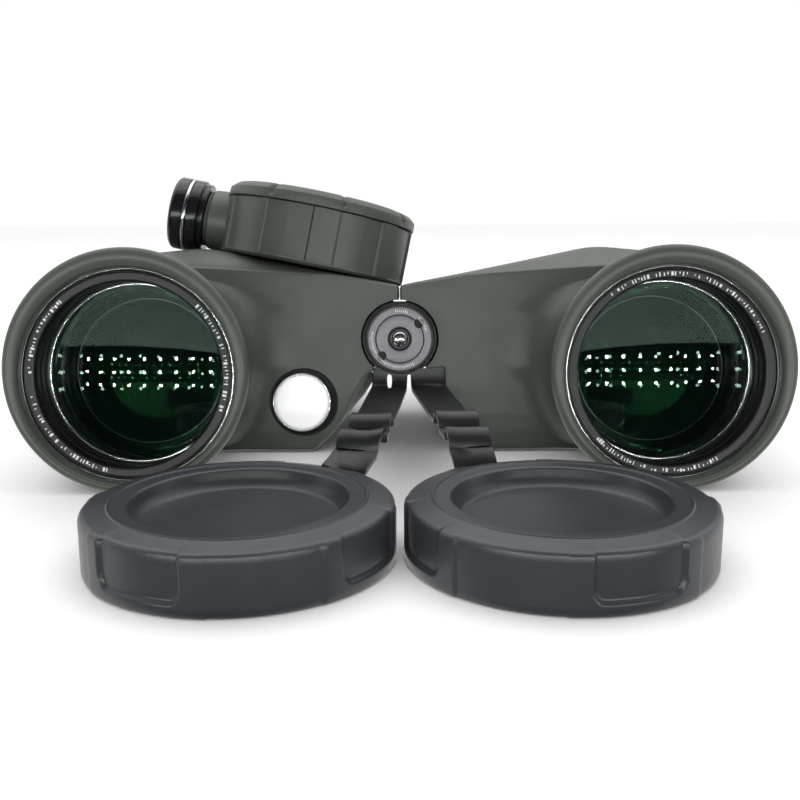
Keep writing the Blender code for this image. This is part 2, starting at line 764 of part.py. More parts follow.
def build():
    clear_scene()
    frame = empty(
        "binocular_frame", None, (0, HINGE_START_Y, HINGE_HEIGHT), (-TILT, 0.0, 0.0)
    )
    left_axis = empty("left_half_axis", frame, (0, 0, 0))
    collar_axis = empty("tether_collar_axis", frame, (0, 0, 0))
    make_hinge(frame, collar_axis)
    right_shell, right_armour = make_half("right", -1, frame, RIGHT_KNUCKLES)
    make_half("left", 1, left_axis, LEFT_KNUCKLES)

    compass_place = (
        -(COMPASS_U * math.cos(ROLL) - COMPASS_V * math.sin(ROLL)),
        COMPASS_Y,
        COMPASS_U * math.sin(ROLL) + COMPASS_V * math.cos(ROLL),
    )
    compass_axis = empty("compass_axis", frame, compass_place, (0.0, ROLL, 0.0))
    make_compass(compass_axis)
    make_light(compass_axis)
    make_illuminator(frame, right_armour, right_shell)

    to_world = Matrix.Translation((0, HINGE_START_Y, HINGE_HEIGHT)) @ Matrix.Rotation(-TILT, 4, "X")
    rim = HINGE_START_Y + LIP_Z * math.sin(TILT)
    hang = ((43.4, -10.5), (43.3, -12.8), (42.3, -14.8))
    tops = {"right": (-3.0, -0.1), "left": (8.7, 0.1)}
    tethers = {
        "right": ((-7.8, -4.8, 18.9), (-10.0, -16.5, 16.6), (-13.4, -22.6, 13.3)),
        "left": ((15.2, -4.6, 19.4), (17.6, -15.4, 17.0), (18.8, -19.9, 14.6)),
    }
    pivots = {"right": (-13.9, -23.4, 12.4), "left": (19.0, -20.7, 12.4)}
    for prefix, side in (("right", -1), ("left", 1)):
        ahead = Vector((0, rim, 0))
        first, second, end = (Vector(p) * MM + ahead for p in tethers[prefix])
        top_x, lean = tops[prefix]
        hanging = [
            to_world @ (Vector((top_x + lean * k, y, z)) * MM) for k, (y, z) in enumerate(hang)
        ]
        path = tether_path(hanging, first, second, end)
        holder = empty(prefix + "_tether_axis", None, (0, 0, 0))
        make_tether(prefix + "_cap_tether", holder, path)
        pivot = Vector(pivots[prefix]) * MM + ahead
        cap_axis = empty(prefix + "_cap_axis", None, pivot)
        make_cap(prefix + "_objective_cap", side, cap_axis, pivot)


build()
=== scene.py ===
"""Looks for the compass binoculars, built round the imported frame.

Shapes are in millimetres in the binoculars' own frame: x to the left eye, y from the front rims to
the eyepieces and z up, from the centre hinge. BINO stands that frame on the table, nose up. Caps,
tethers, lights and camera are in the table's frame. The caps and tethers are in millimetres too.
"""

import json
import math
import random

import bmesh
import bpy
from mathutils import Matrix, Vector


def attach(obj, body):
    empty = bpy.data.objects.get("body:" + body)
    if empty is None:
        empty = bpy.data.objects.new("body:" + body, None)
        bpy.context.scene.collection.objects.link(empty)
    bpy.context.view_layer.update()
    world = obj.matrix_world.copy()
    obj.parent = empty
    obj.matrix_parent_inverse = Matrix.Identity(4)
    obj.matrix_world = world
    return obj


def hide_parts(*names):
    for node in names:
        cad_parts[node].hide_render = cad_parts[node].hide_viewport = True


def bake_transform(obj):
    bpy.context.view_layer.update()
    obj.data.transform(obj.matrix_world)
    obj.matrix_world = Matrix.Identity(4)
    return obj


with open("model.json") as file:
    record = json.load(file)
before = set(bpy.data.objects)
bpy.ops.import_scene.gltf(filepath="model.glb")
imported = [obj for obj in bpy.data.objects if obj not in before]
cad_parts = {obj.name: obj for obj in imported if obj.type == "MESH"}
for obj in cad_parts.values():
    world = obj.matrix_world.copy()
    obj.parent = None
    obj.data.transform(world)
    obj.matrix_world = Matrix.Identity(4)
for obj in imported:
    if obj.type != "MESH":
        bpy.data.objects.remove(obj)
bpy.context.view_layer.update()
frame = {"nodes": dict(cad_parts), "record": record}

# Driving dimensions, the same as the CAD's

MM = 0.001
TILT = math.radians(7.2)
ROLL = math.radians(11.5)
LIP_R = 33.8
LIP_CREST_Y = 1.8
LIP_Z = -7.8
HINGE_HEIGHT = (LIP_R - LIP_Z) * math.cos(TILT) + LIP_CREST_Y * math.sin(TILT)
HINGE_START_Y = -32.3
AXIS_X = 75.2
AXIS_Z = -9.0
EYE_X = 36.2
EYE_Z = 1.0
FACE_Y = 45.2
RIDGE_Y = 58.0
REST_Y = 104.0
ARMOUR_END_Y = 108.0
SEAM_X = 0.09
SEAM_Z = 17.0
CROWN_X = 63.0
ARMOUR_T = 2.2
COMPASS_U = 34.5
COMPASS_V = 17.0
COMPASS_Y = 76.5
CELL_Z = 10.2
WINDOW_X = -31.2
WINDOW_Z = -20.0
CAP_X = 36.1
CAP_AHEAD = 53.2
STRAP_W = 11.0
STRAP_T = 1.7
CAP_RIM_Y = HINGE_START_Y - CAP_AHEAD
RIM_Y = HINGE_START_Y + LIP_Z * math.sin(TILT)

BINO = Matrix.Translation((0, HINGE_START_Y, HINGE_HEIGHT)) @ Matrix.Rotation(-TILT, 4, "X")
TO_METRES = Matrix.Scale(MM, 4)


# Materials

def nodes_of(name):
    """A new material with its node tree and its shader."""
    made = bpy.data.materials.new(name)
    made.use_nodes = True
    tree = made.node_tree
    return made, tree, tree.nodes["Principled BSDF"]


def noise(tree, scale, detail=4.0, roughness=0.55):
    """A noise that keeps still on the object. Its scale is in cells per metre."""
    coords = tree.nodes.new("ShaderNodeTexCoord")
    texture = tree.nodes.new("ShaderNodeTexNoise")
    texture.inputs["Scale"].default_value = scale
    texture.inputs["Detail"].default_value = detail
    texture.inputs["Roughness"].default_value = roughness
    tree.links.new(coords.outputs["Object"], texture.inputs["Vector"])
    return texture.outputs["Fac"]


def ramp(tree, source, low, high, positions=(0.3, 0.7)):
    """A colour that runs from low to high as source goes between the two positions."""
    node = tree.nodes.new("ShaderNodeValToRGB")
    node.color_ramp.elements[0].position = positions[0]
    node.color_ramp.elements[1].position = positions[1]
    node.color_ramp.elements[0].color = (*low, 1.0)
    node.color_ramp.elements[1].color = (*high, 1.0)
    tree.links.new(source, node.inputs["Fac"])
    return node.outputs["Color"]


def span(tree, source, low, high):
    """A value that runs from low to high as source goes from 0 to 1."""
    node = tree.nodes.new("ShaderNodeMapRange")
    node.inputs["To Min"].default_value = low
    node.inputs["To Max"].default_value = high
    tree.links.new(source, node.inputs["Value"])
    return node.outputs["Result"]


def bump(tree, shader, layers):
    """Bump from several noises, each (scale, depth in metres, strength)."""
    normal = None
    for scale, depth, strength in layers:
        node = tree.nodes.new("ShaderNodeBump")
        node.inputs["Distance"].default_value = depth
        node.inputs["Strength"].default_value = strength
        tree.links.new(noise(tree, scale, 3.0), node.inputs["Height"])
        if normal:
            tree.links.new(normal, node.inputs["Normal"])
        normal = node.outputs["Normal"]
    tree.links.new(normal, shader.inputs["Normal"])


def mottled(name, color, spread, roughness, grain, metallic=0.0, patch=35.0, dust=0.0):
    """A moulded surface: patches of slightly different colour, uneven gloss and a fine grain."""
    made, tree, shader = nodes_of(name)
    low = tuple(c * (1 - spread) for c in color)
    high = tuple(c * (1 + spread) + dust for c in color)
    tree.links.new(ramp(tree, noise(tree, patch), low, high), shader.inputs["Base Color"])
    gloss = span(tree, noise(tree, patch * 3.1), roughness * 0.86, roughness * 1.14)
    tree.links.new(gloss, shader.inputs["Roughness"])
    shader.inputs["Metallic"].default_value = metallic
    bump(tree, shader, grain)
    return made


def armour_rubber():
    grain = ((1500.0, 0.00005, 0.35), (5200.0, 0.00003, 0.3))
    return mottled("armour_rubber_look", (0.060, 0.070, 0.056), 0.10, 0.42, grain, dust=0.003)


def cap_rubber():
    grain = ((900.0, 0.00004, 0.25), (4200.0, 0.00003, 0.35))
    return mottled("cap_rubber_look", (0.028, 0.031, 0.036), 0.12, 0.36, grain, dust=0.003)


def strap_rubber():
    grain = ((1300.0, 0.00004, 0.3), (5200.0, 0.00003, 0.3))
    return mottled("strap_rubber_look", (0.008, 0.0085, 0.010), 0.15, 0.4, grain)


def black_plastic():
    grain = ((2600.0, 0.00002, 0.25),)
    made = mottled("black_plastic_look", (0.006, 0.006, 0.007), 0.2, 0.34, grain)
    made.node_tree.nodes["Principled BSDF"].inputs["Specular IOR Level"].default_value = 0.3
    return made


def inner_black():
    grain = ((1800.0, 0.00003, 0.3),)
    return mottled("inner_black_look", (0.006, 0.007, 0.007), 0.2, 0.62, grain)


def satin_alloy():
    """The hinge disc's bead-blasted face, which sparkles a little."""
    made, tree, shader = nodes_of("satin_alloy_look")
    speck = noise(tree, 3800.0, 2.0)
    tree.links.new(
        ramp(tree, speck, (0.12, 0.115, 0.13), (0.27, 0.255, 0.285)), shader.inputs["Base Color"]
    )
    tree.links.new(span(tree, noise(tree, 2500.0), 0.32, 0.5), shader.inputs["Roughness"])
    shader.inputs["Metallic"].default_value = 0.35
    bump(tree, shader, ((3600.0, 0.00004, 0.5),))
    return made


def bright_steel():
    made, tree, shader = nodes_of("bright_steel_look")
    low, high = (0.62, 0.63, 0.64), (0.82, 0.82, 0.83)
    tree.links.new(ramp(tree, noise(tree, 400.0), low, high), shader.inputs["Base Color"])
    tree.links.new(span(tree, noise(tree, 900.0), 0.12, 0.24), shader.inputs["Roughness"])
    shader.inputs["Metallic"].default_value = 1.0
    bump(tree, shader, ((2200.0, 0.00002, 0.2),))
    return made


def brass():
    grain = ((1800.0, 0.00003, 0.3),)
    return mottled("brass_look", (0.55, 0.40, 0.16), 0.1, 0.3, grain, metallic=1.0)


def white_diffuser_painted_glow():
    """The light window's milky plastic, with a faint painted glow from its emission."""
    made, tree, shader = nodes_of("white_diffuser_look")
    low, high = (0.86, 0.87, 0.87), (0.93, 0.94, 0.94)
    tree.links.new(ramp(tree, noise(tree, 160.0), low, high), shader.inputs["Base Color"])
    tree.links.new(span(tree, noise(tree, 700.0), 0.14, 0.24), shader.inputs["Roughness"])
    bump(tree, shader, ((900.0, 0.00003, 0.2),))
    # Painted glow: the window is no lamp, and this emission only brightens it.
    shader.inputs["Emission Color"].default_value = (1.0, 1.0, 1.0, 1.0)
    shader.inputs["Emission Strength"].default_value = 0.35
    return made


def white_ink():
    grain = ((2500.0, 0.00001, 0.2),)
    return mottled("white_ink_look", (0.78, 0.79, 0.79), 0.04, 0.5, grain)


def coated_glass(name, color, roughness, reflection):
    """Clear glass with a coating that holds back its reflection."""
    made, tree, shader = nodes_of(name)
    low = tuple(c * 0.92 for c in color)
    tree.links.new(ramp(tree, noise(tree, 60.0), low, color), shader.inputs["Base Color"])
    tree.links.new(
        span(tree, noise(tree, 300.0), roughness * 0.6, roughness * 1.4),
        shader.inputs["Roughness"],
    )
    shader.inputs["Transmission Weight"].default_value = 1.0
    shader.inputs["IOR"].default_value = 1.52
    shader.inputs["Specular IOR Level"].default_value = reflection
    return made


def shade_painted_glass():
    """Opaque coated glass whose near-black base colour is painted shade for the darkness behind it: only
    its green reflection shows.
    """
    made, tree, shader = nodes_of("dark_coated_glass_look")
    # Painted shade: the near-black base colour stands for the dark barrel seen through the glass.
    tree.links.new(
        ramp(tree, noise(tree, 45.0, 2.0), (0.002, 0.006, 0.005), (0.004, 0.012, 0.009)),
        shader.inputs["Base Color"],
    )
    tree.links.new(span(tree, noise(tree, 300.0), 0.008, 0.016), shader.inputs["Roughness"])
    shader.inputs["IOR"].default_value = 1.6
    shader.inputs["Specular Tint"].default_value = (0.25, 1.0, 0.45, 1.0)
    shader.inputs["Specular IOR Level"].default_value = 0.16
    return made


LOOKS = {
    "armour_rubber": armour_rubber(),
    "cap_rubber": cap_rubber(),
    "strap_rubber": strap_rubber(),
    "black_plastic": black_plastic(),
    "shell_plastic": inner_black(),
    "lens_glass": coated_glass("lens_glass_look", (0.66, 0.92, 0.78), 0.008, 0.14),
    "bright_steel": bright_steel(),
    "white_plastic": white_diffuser_painted_glow(),
    "brass": brass(),
}
ALLOY = satin_alloy()
INK = white_ink()
GLOSS_BLACK = mottled(
    "gloss_black_look", (0.008, 0.008, 0.010), 0.2, 0.16, ((2600.0, 0.00002, 0.15),)
)
DULL_EDGE = mottled("dull_edge_look", (0.10, 0.11, 0.11), 0.1, 0.3, ((2600.0, 0.00002, 0.2),))
SHADE_PAINTED_GLASS = shade_painted_glass()
CLEAR = coated_glass("clear_window_look", (0.92, 0.95, 0.94), 0.01, 0.5)
RED_INK = mottled("red_ink_look", (0.45, 0.03, 0.02), 0.05, 0.5, ((2500.0, 0.00001, 0.2),))


# Mesh helpers

def piece(name, verts, faces, look, body, slot, matrix=BINO, sharp=38, replaces=()):
    """A smooth-shaded mesh in millimetres, moved to its place, riding on a body."""
    mesh = bpy.data.meshes.new(name)
    mesh.from_pydata([tuple(v) for v in verts], [], faces)
    mesh.transform(TO_METRES @ matrix)
    mesh.materials.append(look)
    mesh.shade_smooth()
    mesh.set_sharp_from_angle(angle=math.radians(sharp))
    obj = bpy.data.objects.new(name, mesh)
    bpy.context.scene.collection.objects.link(obj)
    if body:
        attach(obj, body)
    if replaces:
        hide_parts(*replaces)
    return obj


def loop_skin(rings, flipped=False):
    """Faces through closed rings, where the last ring joins the first."""
    count = len(rings[0])
    verts = [v for ring in rings for v in ring]
    faces = []
    for i in range(len(rings)):
        low = i * count
        high = ((i + 1) % len(rings)) * count
        for k in range(count):
            n = (k + 1) % count
            quad = (low + k, low + n, high + n, high + k)
            faces.append(quad if flipped else quad[::-1])
    return verts, faces


def fillet(profile, steps=4):
    """A profile of (radius, height, rounding), with an arc at every rounded corner."""
    out = []
    last = len(profile) - 1
    for k, (r, h, rounding) in enumerate(profile):
        here = Vector((r, h))
        if k in (0, last) or rounding == 0:
            out.append(here)
            continue
        back = Vector(profile[k - 1][:2]) - here
        ahead = Vector(profile[k + 1][:2]) - here
        reach = min(rounding, back.length * 0.48, ahead.length * 0.48)
        start = here + back.normalized() * reach
        end = here + ahead.normalized() * reach
        for s in range(steps + 1):
            t = s / steps
            out.append(start.lerp(here, t).lerp(here.lerp(end, t), t))
    return out


def lathe(profile, segments, closed=True, steps=4, shape=None):
    """Turn a profile round Z. The profile is closed, or runs from the axis back to the axis."""
    points = fillet(profile, steps)
    verts, faces = [], []
    rows = []
    for p in points:
        if p.x < 1e-6:
            rows.append([len(verts)])
            verts.append(Vector((0, 0, p.y)))
            continue
        row = []
        for k in range(segments):
            angle = 2 * math.pi * k / segments
            r, h = (p.x, p.y) if shape is None else shape(p.x, p.y, angle)
            row.append(len(verts))
            verts.append(Vector((r * math.cos(angle), r * math.sin(angle), h)))
        rows.append(row)
    pairs = list(zip(rows, rows[1:]))
    if closed:
        pairs.append((rows[-1], rows[0]))
    for low, high in pairs:
        for k in range(segments):
            n = (k + 1) % segments
            if len(low) == 1 and len(high) == 1:
                break
            if len(low) == 1:
                faces.append((low[0], high[n], high[k]))
            elif len(high) == 1:
                faces.append((low[k], low[n], high[0]))
            else:
                faces.append((low[k], low[n], high[n], high[k]))
    return verts, faces


def along_y(x=0.0, z=0.0, y=0.0):
    """Places a turned piece with its height along the binoculars' length."""
    return BINO @ Matrix.Translation((x, y, z)) @ Matrix.Rotation(-math.pi / 2, 4, "X")


def turned(name, profile, segments, look, body, slot, matrix, closed=True, **more):
    """A turned piece. More options are steps and shape for lathe, and sharp and replaces for piece."""
    shape = more.pop("shape", None)
    steps = more.pop("steps", 4)
    verts, faces = lathe(profile, segments, closed, steps, shape)
    obj = piece(name, verts, faces, look, body, slot, matrix, **more)
    outward(obj)
    return obj


def outward(obj):
    """Joins points that coincide and makes every face look outward."""
    bm = bmesh.new()
    bm.from_mesh(obj.data)
    bmesh.ops.remove_doubles(bm, verts=bm.verts, dist=1e-7)
    bmesh.ops.recalc_face_normals(bm, faces=bm.faces)
    bm.to_mesh(obj.data)
    bm.free()
    return obj


def cut_with(obj, cutters):
    """Boolean cuts, applied at once."""
    for cutter in cutters:
        step = obj.modifiers.new("cut", "BOOLEAN")
        step.operation = "DIFFERENCE"
        step.solver = "EXACT"
        step.use_self = True
        step.object = cutter
    graph = bpy.context.evaluated_depsgraph_get()
    mesh = bpy.data.meshes.new_from_object(obj.evaluated_get(graph))
    obj.modifiers.clear()
    obj.data = mesh
    for cutter in cutters:
        bpy.data.objects.remove(cutter, do_unlink=True)
    mesh.shade_smooth()
    mesh.set_sharp_from_angle(angle=math.radians(38))
    return obj


def cutter(profile, segments, matrix, scale=(1, 1, 1)):
    """A turned solid for cut_with, which takes it away afterwards."""
    verts, faces = lathe(profile, segments, closed=False)
    mesh = bpy.data.meshes.new("cutter")
    mesh.from_pydata([tuple(v) for v in verts], [], faces)
    mesh.transform(TO_METRES @ matrix @ Matrix.Diagonal((*scale, 1)))
    obj = bpy.data.objects.new("cutter", mesh)
    bpy.context.scene.collection.objects.link(obj)
    return outward(obj)


def smooth(t):
    """An even rise from 0 to 1."""
    t = max(0.0, min(1.0, t))
    return t * t * (3 - 2 * t)


# Armour

RING_POINTS = 168
FILLET_Y = 29.2
FILLET_REACH = 0.36
FACE_DISH = 0.15
FOLD_SLOPE = 0.64
RELIEF_R = 12.3
REAR_RELIEF_R = 14.4
RECESS_SHIFT = 0.7


def floor_z(y):
    """The table's height under the binoculars at y."""
    return y * math.tan(TILT) - HINGE_HEIGHT / math.cos(TILT)


def barrel_radius(y):
    """The barrel narrows backward, so that its underside lies along the table."""
    return LIP_R + AXIS_Z - LIP_Z - 0.45 - (y - LIP_CREST_Y) * math.tan(TILT)


def rounded_path(corners, arc_steps=12):
    """A closed path round corners of (x, z, radius), with an arc at each."""
    path = []
    count = len(corners)
    for k, (x, z, radius) in enumerate(corners):
        here = Vector((x, z))
        back = (Vector(corners[k - 1][:2]) - here).normalized()
        ahead = (Vector(corners[(k + 1) % count][:2]) - here).normalized()
        half_angle = back.angle(ahead) / 2
        reach = radius / math.tan(half_angle)
        centre = here + (back + ahead).normalized() * (radius / math.sin(half_angle))
        start = here + back * reach - centre
        sweep = start.angle_signed(here + ahead * reach - centre)
        for step in range(arc_steps + 1):
            turned_by = Matrix.Rotation(-sweep * step / arc_steps, 2)
            path.append(centre + turned_by @ start)
    return path


def spaced(path, count):
    """Evenly spaced points along a closed path, from its outermost point on."""
    outside = max(range(len(path)), key=lambda k: path[k].x - abs(path[k].y - AXIS_Z))
    path = path[outside:] + path[:outside]
    path.append(path[0])
    lengths = [(b - a).length for a, b in zip(path, path[1:])]
    total = sum(lengths)
    points = []
    index, passed = 0, 0.0
    for k in range(count):
        target = total * k / count
        while passed + lengths[index] < target:
            passed += lengths[index]
            index += 1
        points.append(path[index].lerp(path[index + 1], (target - passed) / lengths[index]))
    return points


def inset_outline(points, depth):
    moved = []
    for k, here in enumerate(points):
        chord = points[(k + 1) % len(points)] - points[k - 1]
        moved.append(here + Vector((-chord.y, chord.x)).normalized() * depth)
    return moved


def outline(y, face):
    """The housing's outline at y: the flat front face's own, or the full one behind it."""
    bottom = floor_z(y) + 0.5 * max(0.0, (REST_Y - y) / (REST_Y - FACE_Y))
    if face:
        outer = (103.2, 22.4, 25.0)
        crown = (CROWN_X, 23.2, 14.0)
        shoulder = (21.0, 20.5, 26.0)
    else:
        outer = (99.0, 26.5, 22.0)
        crown = (CROWN_X, SEAM_Z + CROWN_X * math.tan(ROLL), 38.0)
        shoulder = (21.0, SEAM_Z + 21.1 * math.tan(ROLL), 26.0)
    corners = [
        (outer[0], bottom, outer[2] * 0.6),
        outer,
        crown,
        shoulder,
        (SEAM_X, SEAM_Z, 0.8),
        (SEAM_X, -8.0, 0.5),
        (11.0, -11.0, 2.0),
        (19.5, -28.0, 3.0),
        (27.0, bottom, 4.0),
    ]
    return spaced(rounded_path(corners), RING_POINTS)


def circle(radius, centre_z=AXIS_Z):
    step = 2 * math.pi / RING_POINTS
    return [
        Vector((AXIS_X + radius * math.cos(k * step), centre_z + radius * math.sin(k * step)))
        for k in range(RING_POINTS)
    ]


def mixed(first, second, weight):
    return [a.lerp(b, weight) for a, b in zip(first, second)]


def clear_of_fold(points):
    """Keeps the edges under the hinge far enough apart for the halves to fold by 60 degrees."""
    return [Vector((max(p.x, -FOLD_SLOPE * p.y), p.y)) if p.y < -8.0 else p for p in points]


def armour_rings():
    """The skin's rings from inside the objective rim, outside to the back and inside again."""
    rings = [(6.4, circle(29.5)), (2.6, circle(29.6))]
    for step in range(1, 12):
        angle = math.pi * step / 12
        radius = 31.7 - 2.1 * math.cos(angle)
        height = 2.1 - 2.1 * math.sin(angle)
        centre = AXIS_Z + (LIP_Z - AXIS_Z) * smooth(step / 10)
        rings.append((height, circle(radius, centre)))
    for y, extra in ((2.6, 0.0), (3.6, -0.2), (4.8, -0.75), (6.2, -1.35)):
        rings.append((y, circle(LIP_R + extra, LIP_Z)))
    for y, share in ((8.0, 0.7), (10.0, 0.35), (13.0, 0.1), (17.0, 0.0)):
        centre = AXIS_Z + (LIP_Z - AXIS_Z) * share
        rings.append((y, circle(barrel_radius(y) + 0.2 * share, centre)))
    for y in (20.5, 24.0, 27.0, FILLET_Y):
        rings.append((y, circle(barrel_radius(y))))
    face = outline(FACE_Y, True)
    depth = FACE_Y - FACE_DISH - FILLET_Y
    for step in range(1, 19):
        t = math.sin(math.pi / 2 * step / 18)
        y = FILLET_Y + depth * t
        weight = FILLET_REACH * (1 - math.sqrt(max(0.0, 1 - t * t)))
        rings.append((y, mixed(circle(barrel_radius(y)), face, weight)))
    flat = mixed(circle(barrel_radius(FACE_Y)), face, FILLET_REACH)
    edge = inset_outline(face, 0.75)
    for share in (0.25, 0.5, 0.75, 0.9):
        rings.append((FACE_Y - FACE_DISH * (1 - share), mixed(flat, edge, share)))
    for y, inset in ((45.22, 0.7), (45.6, 0.28), (46.1, 0.06)):
        rings.append((y, inset_outline(face, inset)))
    ridge = outline(RIDGE_Y, False)
    for step in range(1, 9):
        t = step / 8
        y = 46.6 + (RIDGE_Y - 46.6) * t
        swelling = t + 0.06 * math.sin(math.pi * t)
        rings.append((y, clear_of_fold(mixed(face, ridge, swelling))))
    for y in (60.0, 66.0, 78.0, 92.0, REST_Y):
        rings.append((y, outline(y, False)))
    back = outline(ARMOUR_END_Y, False)
    for y, inset in ((105.8, 0.12), (107.0, 0.45), (107.7, 1.0), (108.0, 1.7), (108.0, 2.15)):
        rings.append((y, inset_outline(back, inset)))
    for y in (REST_Y, 82.0, RIDGE_Y):
        rings.append((y, inset_outline(outline(y, False), ARMOUR_T)))
    inner_face = inset_outline(face, ARMOUR_T)
    rings.append((FACE_Y + ARMOUR_T, inner_face))
    for y, weight in ((45.9, 0.24), (43.4, 0.12), (39.4, 0.06), (31.4, 0.0)):
        rings.append((y, mixed(circle(barrel_radius(y) - 1.45), inner_face, weight)))
    rings.append((20.0, circle(barrel_radius(20.0) - 1.45)))
    rings.append((6.7, circle(barrel_radius(6.7) - 1.45)))
    return rings


def make_armour(prefix, side):
    """One half's rubber skin, cut back round the hinge and, on the right, at the light window."""
    rings = [[Vector((side * p.x, y, p.y)) for p in ring] for y, ring in armour_rings()]
    verts, faces = loop_skin(rings)
    name = prefix + "_armour_skin"
    obj = piece(
        name, verts, faces, LOOKS["armour_rubber"], prefix + "_half", "armour_rubber",
        replaces=(prefix + "_armour",),
    )
    outward(obj)
    relief = [
        (0, -1, 0), (RELIEF_R, -1, 0), (RELIEF_R, 46.6, 0.6), (REAR_RELIEF_R, 47.4, 0),
        (REAR_RELIEF_R, 120, 0), (0, 120, 0),
    ]
    cutters = [cutter(relief, 96, along_y())]
    if side < 0:
        recess = [
            (0, 40, 0), (11.4, 40, 0), (11.0, 44.9, 0.6), (10.3, 46.2, 0), (10.3, 48.3, 0), (0, 48.3, 0),
        ]
        cutters.append(cutter(recess, 72, along_y(WINDOW_X + RECESS_SHIFT, WINDOW_Z)))
    return cut_with(obj, cutters)


# Objectives

REAR_CURVE = 82.0


def make_objective(prefix, side):
    body = prefix + "_half"
    place = along_y(side * AXIS_X, AXIS_Z)
    bezel = [
        (27.6, 6.2, 0), (29.1, 6.2, 0.2), (29.1, 4.5, 0.3), (28.6, 4.2, 0.2), (28.2, 4.45, 0.15),
        (26.3, 4.45, 0.15), (25.95, 4.7, 0.2), (25.8, 6.0, 0.2), (25.8, 8.2, 0.1), (26.1, 8.5, 0.1),
        (26.1, 9.4, 0.1), (25.8, 9.7, 0.1), (25.8, 12.2, 0.1), (26.1, 12.5, 0.1), (26.1, 13.4, 0.1),
        (25.8, 13.7, 0.1), (25.8, 16.2, 0), (27.6, 16.2, 0),
    ]
    turned(
        prefix + "_bezel_ring", bezel, 160, LOOKS["black_plastic"], body, "black_plastic", place,
        replaces=(prefix + "_objective_bezel",), steps=2,
    )
    make_bezel_ticks(prefix, side, place)
    turned(
        prefix + "_bezel_edge", [(29.1, 4.7, 0), (29.45, 4.7, 0), (29.45, 4.0, 0.1), (29.1, 4.0, 0.1)],
        160, LOOKS["bright_steel"], body, "black_plastic", place, steps=2,
    )
    turned(
        prefix + "_lens_ring", [(25.9, 17.6, 0), (25.9, 16.3, 0.1), (25.3, 16.3, 0.15), (25.3, 17.6, 0)],
        160, LOOKS["bright_steel"], body, "black_plastic", place, steps=2,
    )
    front = [(r, 17.9 + r * r / 284, 0) for r in (0, 4, 8, 12, 16, 20, 23, 25.6)]
    back = [(r, 25.4 - r * r / 468, 0) for r in (25.6, 23, 20, 16, 12, 8, 4, 0)]
    turned(
        prefix + "_front_lens", front + back, 160, LOOKS["lens_glass"], body, "lens_glass", place,
        closed=False, replaces=(prefix + "_objective_front_lens",), sharp=60,
    )
    inner = [(r, 25.9 + r * r / REAR_CURVE, 0) for r in (0, 3, 6, 9, 12, 15, 18, 20.2)]
    rim = [(24.2, 31.0, 0), (24.2, 32.0, 0), (0, 32.0, 0)]
    # The rear lens is opaque, and its near-black colour is painted shade for the dark barrel behind it.
    turned(
        prefix + "_rear_lens", inner + rim, 160, SHADE_PAINTED_GLASS, body, "lens_glass", place,
        closed=False, replaces=(prefix + "_objective_rear_lens",), sharp=60,
    )
    for number, (radius, y) in enumerate(((24.6, 26.6), (20.4, 30.6))):
        loop = [(radius, y, 0), (radius + 0.28, y, 0), (radius + 0.28, y + 0.3, 0), (radius, y + 0.3, 0)]
        turned(
            f"{prefix}_cell_edge_{number}", loop, 160, DULL_EDGE, body, "shell_plastic", place,
            steps=1,
        )


def make_bezel_ticks(prefix, side, place):
    """Plain bar marks in groups round the bezel's face, where the maker's wording would stand."""
    verts, faces = [], []
    random.seed(7 + side)
    runs = ((104, 168), (182, 232), (-44, 24)) if side < 0 else ((62, 140), (-100, -22), (-128, -104))
    for start, end in runs:
        angle = start
        while angle < end:
            inner = random.choice((26.65, 26.65, 26.95, 27.2))
            outer = random.choice((27.75, 27.75, 27.5))
            half = random.choice((0.13, 0.16, 0.3))
            box_on_disc(verts, faces, math.radians(angle), inner, outer, half, 4.38, 4.5)
            angle += random.choice((1.7, 2.1, 2.1, 2.6, 4.6))
    obj = piece(prefix + "_bezel_ticks", verts, faces, INK, prefix + "_half", "white_plastic", place)
    return outward(obj)


# Eyepieces

